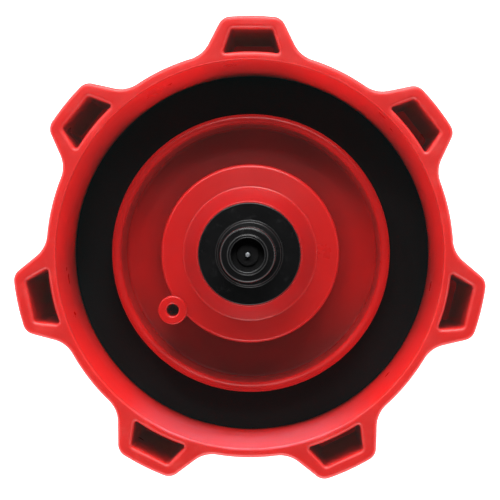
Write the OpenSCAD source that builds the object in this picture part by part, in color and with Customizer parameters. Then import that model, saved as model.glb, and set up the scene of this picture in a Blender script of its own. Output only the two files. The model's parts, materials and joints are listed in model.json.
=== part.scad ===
// Vented seven-lug filler cap for a water filled barrier, lying on its outer face.
// Z is the cap's axis, up out of the open side. One lug points along +Y.

/* [Cap body] */
// Height of the skirt and lugs
cap_h = 41; // [34:0.5:60]
// Outside radius of the skirt between the lugs
skirt_r = 68.5; // [57:0.5:83]
// Thickness of the skirt at its open rim
skirt_wall = 3.3; // [2.5:0.1:4.5]
// How much wider the bore is at the rim than at its foot
bore_draft = 0.7; // [0.2:0.1:1.2]
// Height at which the straight part of the bore ends
bore_straight_z = 23; // [16:0.5:26]
// Thickness of the end plate
plate_t = 3.2; // [2.6:0.1:4]
// Depth of the dished ring in the outer face
dish_depth = 0.8; // [0.3:0.1:1]
// Width of the flat face between the centre boss and the dished ring
dish_inner_margin = 5; // [3:0.5:8]
// Width of the flat face between the dished ring and the skirt's outside
dish_outer_margin = 11.5; // [8:0.5:14]

/* [Lugs] */
// Number of grip lugs
lug_count = 7; // [5:1:8]
// How far the lugs stand out from the skirt
lug_reach = 11.5; // [9.5:0.5:14]
// Width between a lug's side lines at its tip
lug_tip_w = 19.4; // [16:0.2:23]
// Angle of a lug's sides to its centre line
lug_flare = 26.5; // [20:0.5:30]
// Radius of a lug's outer corners
lug_corner_r = 4.5; // [2:0.5:5.5]
// Radius of the fillet between lug and skirt
lug_root_r = 10; // [6:0.5:10]
// Wall between a pocket and the lug's tip
pocket_tip_wall = 4.5; // [3.5:0.1:5]
// Wall between a pocket and the bore
pocket_back_wall = 2.8; // [2.5:0.1:3.2]
// Width of a pocket at its outer edge
pocket_w = 13.9; // [10:0.1:14]
// Angle of a pocket's sides to its centre line
pocket_flare = 18; // [12:1:22]
// Thickness of a pocket's closed end
pocket_floor = 3; // [2:0.1:4]

/* [Plug ring] */
// Outside radius of the plug ring's wall
plug_r = 48; // [44:0.5:50]
// Thickness of the plug ring's wall
plug_wall = 2.2; // [1.8:0.1:2.6]
// Height of the top of the plug ring's lip
plug_top_z = 19.7; // [17:0.1:24]
// How far the rounded lip stands out past the wall
lip_over = 1.2; // [0.8:0.1:1.4]
// Number of twist lugs on the plug ring
twist_count = 4; // [2:1:6]
// Angle that one twist lug covers
twist_angle = 30; // [15:1:40]
// How far a twist lug stands out from the plug ring
twist_reach = 1.8; // [1:0.1:2]
// Thickness of a twist lug
twist_t = 3; // [2:0.1:4]
// Gap between the gasket and the twist lugs
twist_gap = 3.2; // [2:0.1:5]

/* [Gasket] */
// Thickness of the flat gasket
gasket_t = 2.4; // [1.5:0.1:3.5]
// Gap between the gasket and the bore
gasket_gap = 0.2; // [0.1:0.05:0.5]
// Gap between the gasket and the twist lugs' reach
gasket_inner_gap = 0.5; // [0.3:0.1:1]

/* [Centre boss] */
// Wall thickness of the boss
boss_wall = 3; // [2.2:0.1:3.4]
// Height of the boss shoulder at its edge
shoulder_z = 26.5; // [23:0.5:28]
// Rise of the shoulder towards the valve seat
shoulder_rise = 0.8; // [0.2:0.1:1.5]
// Width of the shoulder around the foot of the raised seat
shoulder_w = 8; // [7:0.2:10]
// Width of the sloping side of the raised seat
riser_w = 5.1; // [4:0.1:6]
// Height of the valve seat
seat_z = 35.4; // [33:0.2:40]
// Width of seat that shows outside the valve flange
seat_margin = 0.5; // [0.3:0.1:0.8]
// Thickness of the valve seat
seat_t = 3; // [2.4:0.1:3.6]
// Radius of the rounded edge of the boss
boss_edge_r = 1.3; // [0.6:0.1:1.6]

/* [Tether boss] */
// Direction of the tether boss from the cap's axis
tether_angle = 216.9; // [0:0.1:359]
// Outside radius of the tether boss
tether_r = 5; // [4.5:0.1:6]
// How far the tether boss stands into the centre boss's edge
tether_bite = 2.7; // [2:0.1:3.5]
// Height of the tether boss above the shoulder
tether_rise = 1; // [0.5:0.1:3]
// Radius of the screw hole in the tether boss
tether_hole_r = 2.1; // [1.5:0.1:2.5]
// Depth of the screw hole
tether_hole_depth = 14; // [8:0.5:20]

/* [Vent valve body] */
// Radius of the threaded stem below the flange
thread_r = 8.9; // [8.5:0.1:10.7]
// How far the valve body above the flange stands out past the thread
body_step = 0.05; // [0:0.05:0.6]
// How far the valve flange stands out past the thread
flange_w = 8.5; // [8:0.1:9.5]
// Thickness of the valve flange
flange_t = 1.6; // [1.2:0.1:2.4]
// Wall around the valve chamber
chamber_wall = 1.6; // [1.2:0.1:1.9]
// How far the collar at the foot of the valve body stands out from it
collar_w = 2.15; // [1.6:0.05:3]
// Height of the collar above the flange
collar_h = 1.6; // [1:0.1:3]
// Height of the top of the valve body
body_top_z = 59.6; // [54:0.2:64]
// Thickness of the valve body's closed end
body_end_t = 4.4; // [3:0.1:6]
// Width of the valve body's closed end inside the chamber, around the inlet
inlet_land = 1.9; // [1.5:0.1:2.1]
// Width of the rounded lip around the inlet
inlet_lip_w = 1.1; // [0.8:0.1:1.4]
// Height of the inlet lip above the body
inlet_lip_h = 0.8; // [0.4:0.1:1]
// Lowest point of the threaded stem
thread_end_z = 20; // [17:0.5:23]
// Height of the sealing bead that the pressure valve closes on
bead_h = 0.5; // [0.3:0.1:0.8]
// Width of the sealing bead
bead_w = 0.6; // [0.4:0.1:0.8]

/* [Valve works] */
// Thickness of the pressure plate
plate_disc_t = 1.6; // [1.2:0.1:2.4]
// Thickness of the pressure seal
seal_t = 0.9; // [0.6:0.1:1.2]
// Gap between the pressure plate and the chamber wall
plate_gap = 0.7; // [0.5:0.1:1]
// How far the pressure plate can open
pressure_travel = 3; // [1.5:0.5:4]
// Radius of the vacuum valve's pin
pin_r = 0.8; // [0.7:0.05:0.9]
// Running gap around the pin
pin_gap = 0.06; // [0.04:0.01:0.08]
// Radius of the vacuum disc
vacuum_disc_r = 3.6; // [3.4:0.1:3.8]
// Thickness of the vacuum disc
vacuum_disc_t = 1; // [0.8:0.1:1.4]
// Length of pin that stands above the vacuum disc
pin_above = 2.4; // [1.5:0.1:3.5]
// How far the vacuum disc can lift
vacuum_travel = 1.5; // [0.8:0.1:2]
// Wire radius of the pressure spring
wire_r = 0.45; // [0.35:0.01:0.55]
// Number of turns of the pressure spring
spring_turns = 8; // [6:1:9]
// Wire radius of the vacuum spring
fine_wire_r = 0.2; // [0.15:0.01:0.24]
// Number of turns of the vacuum spring
fine_turns = 4; // [3:1:5]
// Space that the vacuum spring keeps past its travel and its closed turns
fine_spare = 1.3; // [0.8:0.1:2]
// Thickness of the pin's push-on clip
clip_t = 0.6; // [0.4:0.1:0.8]
// Outside radius of the push-on clip
clip_r = 2.4; // [2.2:0.1:2.6]
// Thickness of the spring retainer
retainer_t = 2.6; // [2:0.1:3.4]
// Wall of the retainer's guide tube, which stops the pressure plate
guide_wall = 1; // [0.8:0.1:1.2]
// Gap between the guide tube and the pin's clip
guide_gap = 0.5; // [0.3:0.1:0.6]
// Thickness of the dust screen
screen_t = 0.5; // [0.4:0.1:0.8]
// Depth of the dust screen inside the end of the stem
screen_recess = 1; // [0.5:0.1:1.5]

/* [Retaining nut and seal] */
// Thickness of the retaining nut
nut_t = 5; // [4:0.5:6]
// How far the nut's corners stand out from its hole
nut_corner_w = 5.4; // [3.6:0.1:5.8]
// Gap around the threaded stem
thread_gap = 0.1; // [0.05:0.05:0.2]
// Radius of the round section of the housing seal
ring_section_r = 0.75; // [0.6:0.05:0.9]
// Distance from the stem's hole to the housing seal's centre line
ring_off = 3.4; // [3.2:0.1:4]

/* [Vent cover] */
// Thickness of the vent cover
cover_t = 2.2; // [1.8:0.1:2.4]
// Width of the ledge that the cover sits on
cover_ledge = 2; // [1.6:0.1:2.3]
// Gap around the cover
cover_gap = 0.3; // [0.2:0.05:0.5]
// Number of vent slots
slot_count = 12; // [8:2:16]
// Width of a vent slot
slot_w = 1.8; // [1.4:0.1:2.4]
// Radius at which the vent slots start
slot_in_r = 10; // [8:0.5:12]
// Distance from the end of a vent slot to the cover's edge
slot_margin = 8; // [6.5:0.5:10]
// Number of snap legs on the cover
leg_count = 4; // [3:1:5]
// Angle that one snap leg covers
leg_angle = 26; // [14:1:34]
// Length of a snap leg
leg_h = 8; // [6:0.5:12]
// Thickness of a snap leg
leg_t = 1.6; // [1.2:0.1:2]
// How far a snap leg's barb reaches
barb = 0.9; // [0.6:0.1:1]

/* [Hidden] */
$fn = 96;
eps = 0.01; // overlap that keeps fused shapes and cuts clean
lug_r = skirt_r + lug_reach;
rim_bore_r = skirt_r - skirt_wall;
bore_r = rim_bore_r - bore_draft;
plug_bore_r = plug_r - plug_wall;
lip_bead_r = (plug_wall + lip_over) / 2;
twist_r = plug_r + twist_reach;
gasket_face_z = plate_t + gasket_t;
twist_z = gasket_face_z + twist_gap;
// the lug's side line: distance from the axis and its two directions
side_dir = [sin(lug_flare), -cos(lug_flare)];
side_out = [cos(lug_flare), sin(lug_flare)];
side_off = side_out * [lug_tip_w / 2, lug_r];
// a point beside the side line, at a distance from it and from the axis
function beside(off, r) = (side_off + off) * side_out - sqrt(r * r - pow(side_off + off, 2)) * side_dir;
corner_c = beside(-lug_corner_r, lug_r - lug_corner_r);
root_dip = 0.03; // how far a root fillet's arc dips under the skirt, so that the two cross
root_c = beside(lug_root_r, skirt_r + lug_root_r - root_dip);
corner_side = corner_c + lug_corner_r * side_out;
corner_tip = corner_c * (lug_r / norm(corner_c));
root_side = root_c - lug_root_r * side_out;
root_skirt = root_c * (skirt_r / norm(root_c));
pocket_in_r = rim_bore_r + pocket_back_wall;
pocket_out_y = lug_r - pocket_tip_wall;
pocket_corner = 1; // bevel across a pocket's outer corners
// valve body
hole_r = thread_r + thread_gap;
flange_r = thread_r + flange_w;
body_r = thread_r + body_step;
collar_r = body_r + collar_w;
chamber_r = thread_r - chamber_wall;
inlet_r = chamber_r - inlet_land;
flange_z = seat_z;
flange_top_z = flange_z + flange_t;
chamber_top_z = body_top_z - body_end_t;
bead_z = chamber_top_z - bead_h;
bead_r = inlet_r + 0.2;
flange_edge = 0.3; // bevel on the flange's top edge
collar_slope = 0.6; // how far the collar's side leans in
collar_crown = 0.4; // rise of the collar's top towards the body
body_edge_r = 0.9;
// centre boss and valve seat
seat_r = flange_r + seat_margin;
seat_foot_r = seat_r + riser_w;
boss_r = seat_foot_r + shoulder_w;
shoulder_in_z = shoulder_z + shoulder_rise;
hollow_r = boss_r - boss_wall;
seat_under_z = seat_z - seat_t;
riser_run = (seat_foot_r - seat_r) / (seat_z - shoulder_in_z);
riser_wall = 3.2; // thickness of the raised seat's side at its foot
tether_r_out = boss_r + tether_r - tether_bite;
tether_top_z = shoulder_z + tether_rise;
nut_z = seat_under_z - nut_t;
nut_corner_r = hole_r + nut_corner_w;
ring_r = hole_r + ring_off;
groove_w = 2 * ring_section_r + 0.9;
// moving parts at rest, hanging from the sealing bead
seal_z = bead_z - seal_t;
plate_z = seal_z - plate_disc_t;
plate_r = chamber_r - plate_gap;
pin_tip_z = bead_z + vacuum_disc_t + pin_above;
seal_lap = 1; // how far the vacuum disc lies over the pressure seal
seal_hole_r = vacuum_disc_r - seal_lap;
air_hole_r = 0.4;
air_hole_at = seal_hole_r - air_hole_r - 0.15;
fine_spring_h = vacuum_travel + 2 * fine_wire_r * fine_turns + fine_spare;
clip_z = plate_z - fine_spring_h - clip_t;
pin_head_t = 0.8;
pin_head_r = pin_r + 0.3;
pin_edge = 0.2; // height of the pin's narrowed tip
screen_z = thread_end_z + screen_recess;
retainer_z = screen_z + screen_t;
retainer_top_z = retainer_z + retainer_t;
guide_r = clip_r + guide_gap;
guide_top_z = plate_z - pressure_travel;
vent_hole_r = 1;
vent_hole_count = 8;
coil_gap = 0.5; // between the pressure spring and the plate's edge
coil_r = plate_r - wire_r - coil_gap;
fine_coil_gap = 0.3; // between the vacuum spring and the pin
fine_coil_r = pin_r + fine_coil_gap + fine_wire_r;
// vent cover
cover_r = hollow_r + cover_ledge;
slot_out_r = cover_r - slot_margin;
leg_r = hollow_r - cover_gap;
leg_lead = 0.3; // how far a leg's tip leans in
catch_tail = 2.6; // from the catch's underside to the leg's tip
catch_z = cover_t + leg_h - catch_tail;
catch_h = 1.8;
catch_land = 0.5; // height of the catch's upright face
catch_gap = 0.3;
catch_side_gap = 2; // degrees, at each end of a catch

// ---- cap body -------------------------------------------------------------

module half_lug() {
    difference() {
        union() {
            polygon([
                [0, 0], root_skirt, root_c, root_side, corner_side, corner_c, corner_tip, [0, norm(corner_tip)]
            ]);
            translate(corner_c) circle(lug_corner_r);
            intersection() {
                circle(lug_r);
                polygon([[0, 0], corner_tip * 1.2, [0, lug_r * 1.2]]);
            }
        }
        translate(root_c) circle(lug_root_r);
    }
}

module outline() {
    circle(skirt_r);
    for (i = [0:lug_count - 1])
        rotate(i * 360 / lug_count) {
            half_lug();
            mirror([1, 0]) half_lug();
        }
}

module pocket_outline() {
    top_w = pocket_w / 2;
    foot_w = top_w + pocket_out_y * tan(pocket_flare);
    difference() {
        polygon([
            [-foot_w, 0], [foot_w, 0],
            [top_w, pocket_out_y - pocket_corner], [top_w - pocket_corner, pocket_out_y],
            [pocket_corner - top_w, pocket_out_y], [-top_w, pocket_out_y - pocket_corner]
        ]);
        circle(pocket_in_r);
    }
}

// half section of everything removed inside the skirt, outside the plug ring and the boss
module bore_section() {
    polygon([
        [0, plate_t], [bore_r, plate_t], [bore_r, bore_straight_z],
        [rim_bore_r, cap_h], [rim_bore_r, cap_h + 1], [0, cap_h + 1]
    ]);
}

module plug_section() {
    bead_at = plug_bore_r + lip_bead_r;
    translate([plug_bore_r, plate_t - eps]) square([plug_wall, plug_top_z - lip_bead_r - plate_t + eps]);
    translate([bead_at, plug_top_z - lip_bead_r]) circle(lip_bead_r);
}

module boss_section() {
    e = boss_edge_r;
    polygon([
        [0, 0], [boss_r, 0], [boss_r, shoulder_z - e], [boss_r - e, shoulder_z],
        [seat_foot_r, shoulder_in_z], [seat_r, seat_z], [0, seat_z]
    ]);
    translate([boss_r - e, shoulder_z - e]) circle(e);
}

module boss_hollow_section() {
    run = riser_run * (seat_under_z - shoulder_in_z + boss_wall);
    polygon([
        [0, -1], [hollow_r, -1], [hollow_r, shoulder_z - boss_wall],
        [seat_foot_r - riser_wall, shoulder_in_z - boss_wall],
        [seat_foot_r - riser_wall - run, seat_under_z], [0, seat_under_z]
    ]);
}

module catch_cuts() {
    for (i = [0:leg_count - 1])
        rotate(i * 360 / leg_count - leg_angle / 2 - catch_side_gap)
            rotate_extrude(angle = leg_angle + 2 * catch_side_gap)
                translate([hollow_r - 1, catch_z - catch_gap]) square([1 + barb, catch_h + 2 * catch_gap]);
}

module dish() {
    translate([0, 0, -1]) difference() {
        cylinder(r = skirt_r - dish_outer_margin, h = 1 + dish_depth);
        translate([0, 0, -1]) cylinder(r = boss_r + dish_inner_margin, h = 3 + dish_depth);
    }
}

module tether_place() {
    rotate(tether_angle) translate([tether_r_out, 0, 0]) children();
}

module cap_body() {
    color("#d02028") difference() {
        union() {
            difference() {
                linear_extrude(cap_h) outline();
                rotate_extrude() bore_section();
                for (i = [0:lug_count - 1])
                    rotate(i * 360 / lug_count) translate([0, 0, pocket_floor])
                        linear_extrude(cap_h) pocket_outline();
            }
            rotate_extrude() plug_section();
            rotate_extrude() boss_section();
            tether_place() cylinder(r = tether_r, h = tether_top_z);
            for (i = [0:twist_count - 1])
                rotate(i * 360 / twist_count)
                    rotate_extrude(angle = twist_angle)
                        translate([plug_r - 1, twist_z]) square([1 + twist_reach, twist_t]);
        }
        rotate_extrude() boss_hollow_section();
        translate([0, 0, -1]) cylinder(r = cover_r + cover_gap, h = 1 + cover_t);
        translate([0, 0, seat_under_z - 1]) cylinder(r = hole_r, h = seat_t + 2);
        rotate_extrude()
            translate([ring_r - groove_w / 2, seat_z - 2 * ring_section_r]) square([groove_w, 2]);
        tether_place() translate([0, 0, tether_top_z - tether_hole_depth])
            cylinder(r = tether_hole_r, h = tether_hole_depth + 1);
        catch_cuts();
        dish();
    }
}

module gasket() {
    color("#1c1c1e") translate([0, 0, plate_t]) difference() {
        cylinder(r = bore_r - gasket_gap, h = gasket_t);
        translate([0, 0, -1]) cylinder(r = twist_r + gasket_inner_gap, h = gasket_t + 2);
    }
}

// ---- vent valve -----------------------------------------------------------

module valve_housing() {
    lip_r = inlet_lip_w / 2;
    e = body_edge_r;
    color("#141416") rotate_extrude() {
        difference() {
            union() {
                polygon([
                    [0, thread_end_z], [thread_r, thread_end_z], [thread_r, flange_z], [flange_r, flange_z],
                    [flange_r, flange_top_z - flange_edge], [flange_r - flange_edge, flange_top_z],
                    [collar_r, flange_top_z], [collar_r - collar_slope, flange_top_z + collar_h],
                    [body_r, flange_top_z + collar_h + collar_crown],
                    [body_r, body_top_z - e], [body_r - e, body_top_z], [0, body_top_z]
                ]);
                translate([body_r - e, body_top_z - e]) circle(e);
                translate([inlet_r, body_top_z - 1]) square([inlet_lip_w, 1 + inlet_lip_h - lip_r]);
                translate([inlet_r + lip_r, body_top_z + inlet_lip_h - lip_r]) circle(lip_r);
            }
            translate([-1, thread_end_z - 1]) square([inlet_r + 1, body_top_z + 4 - thread_end_z]);
            translate([-1, thread_end_z - 1]) square([chamber_r + 1, chamber_top_z + 1 - thread_end_z]);
        }
        translate([bead_r, bead_z]) square([bead_w, bead_h + 1]);
    }
}

module housing_seal() {
    color("#202022") translate([0, 0, seat_z - ring_section_r])
        rotate_extrude() translate([ring_r, 0]) circle(ring_section_r, $fn = 32);
}

module retaining_nut() {
    color("#2a2a2c") translate([0, 0, nut_z]) difference() {
        cylinder(r = nut_corner_r, h = nut_t, $fn = 6);
        translate([0, 0, -1]) cylinder(r = hole_r, h = nut_t + 2);
    }
}

module spring_retainer() {
    vent_at = (guide_r + guide_wall + chamber_r) / 2;
    color("#c9c7bd") difference() {
        translate([0, 0, retainer_z]) union() {
            cylinder(r = chamber_r, h = retainer_t);
            cylinder(r = guide_r + guide_wall, h = guide_top_z - retainer_z);
        }
        translate([0, 0, retainer_z - 1]) cylinder(r = guide_r, h = guide_top_z - retainer_z + 2);
        for (i = [0:vent_hole_count - 1])
            rotate(i * 360 / vent_hole_count) translate([vent_at, 0, retainer_z - 1])
                cylinder(r = vent_hole_r, h = retainer_t + 2);
    }
}

module dust_screen() {
    pitch = 2.3;
    mesh_r = 0.75;
    edge_w = 1.6;
    rows = ceil(chamber_r / pitch);
    color("#b9bcc0") translate([0, 0, screen_z]) difference() {
        cylinder(r = chamber_r, h = screen_t);
        for (i = [-rows:rows])
            for (j = [-rows:rows])
                if (norm([i + j / 2, j * sqrt(3) / 2]) * pitch < chamber_r - edge_w)
                    translate([(i + j / 2) * pitch, j * pitch * sqrt(3) / 2, -1])
                        cylinder(r = mesh_r, h = screen_t + 2, $fn = 24);
    }
}

// ---- moving valve works ---------------------------------------------------

module pressure_plate() {
    color("#d8d6cc") difference() {
        translate([0, 0, plate_z]) cylinder(r = plate_r, h = plate_disc_t);
        translate([0, 0, plate_z - 1]) cylinder(r = pin_r + pin_gap, h = plate_disc_t + 2);
        for (i = [0:5])
            rotate(i * 60) translate([air_hole_at, 0, plate_z - 1])
                cylinder(r = air_hole_r, h = plate_disc_t + 2);
    }
}

module pressure_seal() {
    color("#26262a") translate([0, 0, seal_z]) difference() {
        cylinder(r = plate_r, h = seal_t);
        translate([0, 0, -1]) cylinder(r = seal_hole_r, h = seal_t + 2);
    }
}

module vacuum_disc() {
    color("#1b1b1d") translate([0, 0, bead_z]) difference() {
        cylinder(r = vacuum_disc_r, h = vacuum_disc_t);
        translate([0, 0, -1]) cylinder(r = pin_r, h = vacuum_disc_t + 2);
    }
}

module vacuum_pin() {
    color("#c8ccd2") {
        translate([0, 0, clip_z]) cylinder(r = pin_r, h = pin_tip_z - clip_z - pin_edge);
        translate([0, 0, pin_tip_z - pin_edge]) cylinder(r = pin_r - pin_edge, h = pin_edge);
        translate([0, 0, clip_z - pin_head_t]) cylinder(r = pin_head_r, h = pin_head_t);
    }
}

module pin_clip() {
    color("#9fa3a8") translate([0, 0, clip_z]) difference() {
        cylinder(r = clip_r, h = clip_t);
        translate([0, 0, -1]) cylinder(r = pin_r, h = clip_t + 2);
    }
}

// a closed coil of round wire from z0 up to z1, both measured at the wire's outside
module coil(r, wire, z0, z1, turns, steps, sides) {
    n = turns * steps;
    rise = z1 - z0 - 2 * wire;
    function ring(i) = [for (k = [0:sides - 1])
        let (a = 360 * i / steps, b = 360 * k / sides, q = r + wire * cos(b))
        [q * cos(a), q * sin(a), z0 + wire + rise * i / n + wire * sin(b)]];
    pts = [for (i = [0:n]) each ring(i)];
    sides_f = [for (i = [0:n - 1]) for (k = [0:sides - 1])
        let (m = (k + 1) % sides) each [
            [i * sides + k, (i + 1) * sides + m, i * sides + m],
            [i * sides + k, (i + 1) * sides + k, (i + 1) * sides + m]
        ]];
    ends = [[for (k = [0:sides - 1]) k], [for (k = [sides - 1:-1:0]) n * sides + k]];
    polyhedron(pts, concat(sides_f, ends));
}

module pressure_spring() {
    color("#a9adb3") coil(coil_r, wire_r, retainer_top_z, plate_z, spring_turns, 18, 8);
}

module vacuum_spring() {
    color("#b4b8bd") coil(fine_coil_r, fine_wire_r, clip_z + clip_t, plate_z, fine_turns, 14, 6);
}

// ---- vent cover -----------------------------------------------------------

module vent_cover() {
    color("#17171a") {
        difference() {
            cylinder(r = cover_r, h = cover_t);
            for (i = [0:slot_count - 1])
                rotate(i * 360 / slot_count) translate([0, 0, -1]) {
                    translate([slot_in_r, -slot_w / 2, 0])
                        cube([slot_out_r - slot_in_r, slot_w, cover_t + 2]);
                    translate([slot_in_r, 0, 0]) cylinder(r = slot_w / 2, h = cover_t + 2);
                    translate([slot_out_r, 0, 0]) cylinder(r = slot_w / 2, h = cover_t + 2);
                }
        }
        for (i = [0:leg_count - 1])
            rotate(i * 360 / leg_count - leg_angle / 2)
                rotate_extrude(angle = leg_angle)
                    polygon([
                        [leg_r - leg_t, cover_t - eps], [leg_r, cover_t - eps], [leg_r, catch_z],
                        [leg_r + barb, catch_z], [leg_r + barb, catch_z + catch_land],
                        [leg_r, catch_z + catch_h], [leg_r - leg_lead, cover_t + leg_h],
                        [leg_r - leg_t, cover_t + leg_h]
                    ]);
    }
}

cap_body();
gasket();
valve_housing();
housing_seal();
retaining_nut();
pressure_plate();
pressure_seal();
pressure_spring();
spring_retainer();
vacuum_disc();
vacuum_pin();
vacuum_spring();
pin_clip();
dust_screen();
vent_cover();
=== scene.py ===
import json
import math
import bpy
import bmesh
from mathutils import Matrix, Vector


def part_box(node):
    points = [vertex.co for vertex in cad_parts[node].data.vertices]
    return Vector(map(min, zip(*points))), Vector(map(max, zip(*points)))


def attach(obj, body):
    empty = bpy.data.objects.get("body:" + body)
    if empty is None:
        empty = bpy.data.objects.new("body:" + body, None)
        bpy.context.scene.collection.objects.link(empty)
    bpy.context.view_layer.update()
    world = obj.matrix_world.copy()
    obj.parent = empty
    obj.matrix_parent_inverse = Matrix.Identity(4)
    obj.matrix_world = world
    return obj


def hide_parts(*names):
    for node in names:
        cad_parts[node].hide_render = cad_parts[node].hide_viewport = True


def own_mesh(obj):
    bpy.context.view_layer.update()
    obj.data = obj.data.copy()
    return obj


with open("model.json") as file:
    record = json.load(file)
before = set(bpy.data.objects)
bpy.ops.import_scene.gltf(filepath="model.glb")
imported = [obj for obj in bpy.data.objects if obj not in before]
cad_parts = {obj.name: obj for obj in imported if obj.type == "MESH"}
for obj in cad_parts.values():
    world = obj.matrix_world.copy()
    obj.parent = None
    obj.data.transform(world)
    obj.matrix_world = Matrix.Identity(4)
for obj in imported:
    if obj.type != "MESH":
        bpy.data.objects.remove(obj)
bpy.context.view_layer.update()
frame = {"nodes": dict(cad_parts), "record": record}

mm = 0.001
fullTurn = 2 * math.pi
touch = 0.01         # millimetres within which a place counts as on a line
sameSpot = 0.002     # millimetres within which two corners of a mesh are merged


# What the edit-mode work below has in common

def clearSelection():
    if bpy.context.object and bpy.context.object.mode != "OBJECT":
        bpy.ops.object.mode_set(mode="OBJECT")
    bpy.ops.object.select_all(action="DESELECT")


def makeActive(piece):
    clearSelection()
    piece.select_set(True)
    bpy.context.view_layer.objects.active = piece


def startEdit(piece):
    makeActive(piece)
    bpy.ops.object.mode_set(mode="EDIT")
    bpy.ops.mesh.select_mode(type="VERT")
    bpy.ops.mesh.select_all(action="DESELECT")


def endEdit():
    bpy.ops.object.mode_set(mode="OBJECT")


def pickFaces(piece, test):
    # selects the faces whose centre, in millimetres, passes the test
    bpy.ops.mesh.select_mode(type="FACE")
    bpy.ops.mesh.select_all(action="DESELECT")
    edited = bmesh.from_edit_mesh(piece.data)
    for face in edited.faces:
        face.select_set(test(face.calc_center_median() / mm, face.normal))
    bmesh.update_edit_mesh(piece.data)


def pickOpenEdges(piece, test):
    bpy.ops.mesh.select_mode(type="EDGE")
    bpy.ops.mesh.select_all(action="DESELECT")
    edited = bmesh.from_edit_mesh(piece.data)
    for edge in edited.edges:
        middle = (edge.verts[0].co + edge.verts[1].co) / 2 / mm
        edge.select_set(len(edge.link_faces) == 1 and test(middle))
    bmesh.update_edit_mesh(piece.data)


def tidyMesh(merge=sameSpot):
    # merges doubles and turns every face outwards
    bpy.ops.mesh.select_all(action="SELECT")
    bpy.ops.mesh.remove_doubles(threshold=merge * mm)
    bpy.ops.mesh.normals_make_consistent(inside=False)
    bpy.ops.mesh.select_all(action="DESELECT")


def moveMesh(piece, offset):
    startEdit(piece)
    bpy.ops.mesh.select_all(action="SELECT")
    bpy.ops.transform.translate(value=offset)
    endEdit()


def turnMesh(piece, angle):
    # around the cap's axis; the operator turns the other way from the angle that it is given
    startEdit(piece)
    bpy.ops.mesh.select_all(action="SELECT")
    bpy.ops.transform.rotate(value=-angle, orient_axis="Z", center_override=(0, 0, 0))
    endEdit()


def addModifier(piece, kind, **settings):
    makeActive(piece)
    bpy.ops.object.modifier_add(type=kind)
    modifier = piece.modifiers[-1]
    for name, value in settings.items():
        setattr(modifier, name, value)
    bpy.ops.object.modifier_apply(modifier=modifier.name)


def smooth(piece, angle=32):
    makeActive(piece)
    bpy.ops.object.shade_smooth_by_angle(angle=math.radians(angle))
    addModifier(piece, "WEIGHTED_NORMAL", keep_sharp=True, weight=80)


def joinPieces(pieces, name):
    clearSelection()
    for piece in pieces:
        piece.select_set(True)
    bpy.context.view_layer.objects.active = pieces[0]
    bpy.ops.object.join()
    joined = bpy.context.object
    joined.name = name
    return joined


def cutOrFuse(piece, tool, operation):
    addModifier(piece, "BOOLEAN", operation=operation, solver="MANIFOLD", object=tool)
    bpy.data.objects.remove(tool)


def stepsFor(radius, most):
    # a rounding well under a millimetre gets fewer steps, but never under two
    return max(2, round(most * min(1, radius + 0.35)))


def arc(centre, start, end, steps):
    # points from start to end around a centre, the short way
    centre = Vector(centre)
    first = Vector(start) - centre
    last = Vector(end) - centre
    turn = math.copysign(first.angle(last), first.cross(last))
    points = []
    for i in range(steps + 1):
        points.append(centre + Matrix.Rotation(turn * i / steps, 2) @ first)
    return points


def roundCorners(corners, closed):
    # each corner is (x, y) or (x, y, radius); a radius becomes an arc
    mostReach = 0.495     # of a side, so that the arcs at its two ends never meet
    points = []
    count = len(corners)
    for i, corner in enumerate(corners):
        here = Vector(corner[:2])
        radius = corner[2] if len(corner) > 2 else 0
        if radius == 0 or (not closed and i in (0, count - 1)):
            points.append(here)
            continue
        before = Vector(corners[i - 1][:2]) - here
        after = Vector(corners[(i + 1) % count][:2]) - here
        half = before.angle(after) / 2
        reach = min(radius / math.tan(half), mostReach * before.length, mostReach * after.length)
        middle = here + (before.normalized() + after.normalized()).normalized() * (reach / math.cos(half))
        steps = stepsFor(reach * math.tan(half), 6)
        points += arc(middle, here + before.normalized() * reach, here + after.normalized() * reach, steps)
    return points


def drawWire(name, points, closed):
    # a wire drawn point by point, in millimetres
    clearSelection()
    bpy.ops.mesh.primitive_plane_add(size=mm, location=(0, 0, 0))
    wire = bpy.context.object
    wire.name = name
    bpy.ops.object.mode_set(mode="EDIT")
    bpy.ops.mesh.select_mode(type="VERT")
    bpy.ops.mesh.merge(type="CENTER")
    bpy.ops.transform.translate(value=points[0] * mm)
    for here, there in zip(points, points[1:] + (points[:1] if closed else [])):
        bpy.ops.mesh.extrude_vertices_move(TRANSFORM_OT_translate={"value": (there - here) * mm})
    bpy.ops.mesh.select_all(action="SELECT")
    bpy.ops.mesh.remove_doubles(threshold=sameSpot * mm)
    return wire


def lathe(name, corners, closed=True, steps=128, angle=fullTurn):
    # a half section, given as radius and height in millimetres, spun around the axis
    section = [Vector((p.x, 0, p.y)) for p in roundCorners(corners, closed)]
    piece = drawWire(name, section, closed)
    bpy.ops.mesh.select_all(action="SELECT")
    bpy.ops.mesh.spin(steps=steps, angle=angle, center=(0, 0, 0), axis=(0, 0, 1))
    if angle < fullTurn:
        bpy.ops.mesh.select_all(action="SELECT")
        bpy.ops.mesh.remove_doubles(threshold=sameSpot * mm)
        pickOpenEdges(piece, lambda middle: True)
        bpy.ops.mesh.fill_holes(sides=0)
    tidyMesh()
    endEdit()
    return piece


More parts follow.
